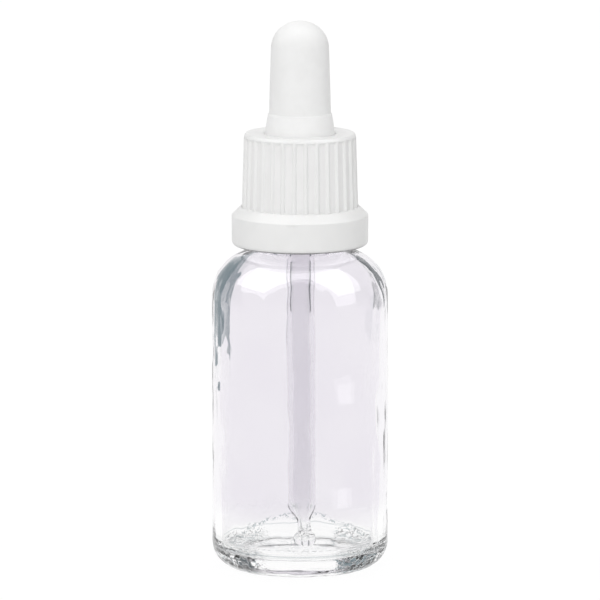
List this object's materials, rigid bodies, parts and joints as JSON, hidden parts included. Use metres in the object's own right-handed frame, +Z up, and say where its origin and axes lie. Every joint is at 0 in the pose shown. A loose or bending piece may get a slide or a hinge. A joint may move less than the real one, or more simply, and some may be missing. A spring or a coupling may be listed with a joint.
{
  "type": "dropper bottle",
  "caption": "Clear round glass bottle with a ribbed screw cap, a tamper band and a glass pipette in a rubber bulb.",
  "frame": {"origin": "middle of the base, on the surface that the bottle stands on", "axes": "+Z up along the bottle's axis, towards the bulb; the pipette's tip leans a little towards -Y and +X"},
  "size_m": [0.033, 0.033, 0.103],
  "materials": {
    "clear_glass": "clear moulded glass, slightly wavy",
    "pipette_glass": "clear drawn glass tube",
    "white_rubber": "smooth soft white rubber, faint bloom",
    "white_plastic": "satin moulded white polypropylene"
  },
  "bodies": {
    "bottle": {"glass_bottle": "clear_glass"},
    "band": {"tamper_band": "white_plastic"},
    "dropper": {"glass_pipette": "pipette_glass"},
    "bulb": {"rubber_bulb": "white_rubber"},
    "bridges": {"tamper_bridges": "white_plastic"},
    "cap": {"screw_cap": "white_plastic"}
  },
  "joints": [
    {"name": "band_turn", "type": "hinge", "parent": "bottle", "child": "band", "pos_m": [0, 0, 0.0645], "axis": [0, 0, 1], "continuous": true},
    {"name": "closure_lift", "type": "slide", "parent": "bottle", "child": "dropper", "axis": [0, 0, 1], "range_m": [0, 0.08]},
    {"name": "bulb_press", "type": "slide", "parent": "dropper", "child": "bulb", "axis": [0, 0, -1], "range_m": [0, 0.006], "stiffness_N_per_m": 600, "deforming": ["rubber_bulb"]},
    {"name": "cap_rise", "type": "slide", "parent": "dropper", "child": "bridges", "axis": [0, 0, 1], "range_m": [0, 0.00375]},
    {"name": "cap_turn", "type": "hinge", "parent": "bridges", "child": "cap", "pos_m": [0, 0, 0.0742], "axis": [0, 0, 1], "range_deg": [0, 450]}
  ],
  "couplings": [
    {"joint": "cap_turn", "follows": "cap_rise", "rad_per_m": 2094.4}
  ]
}
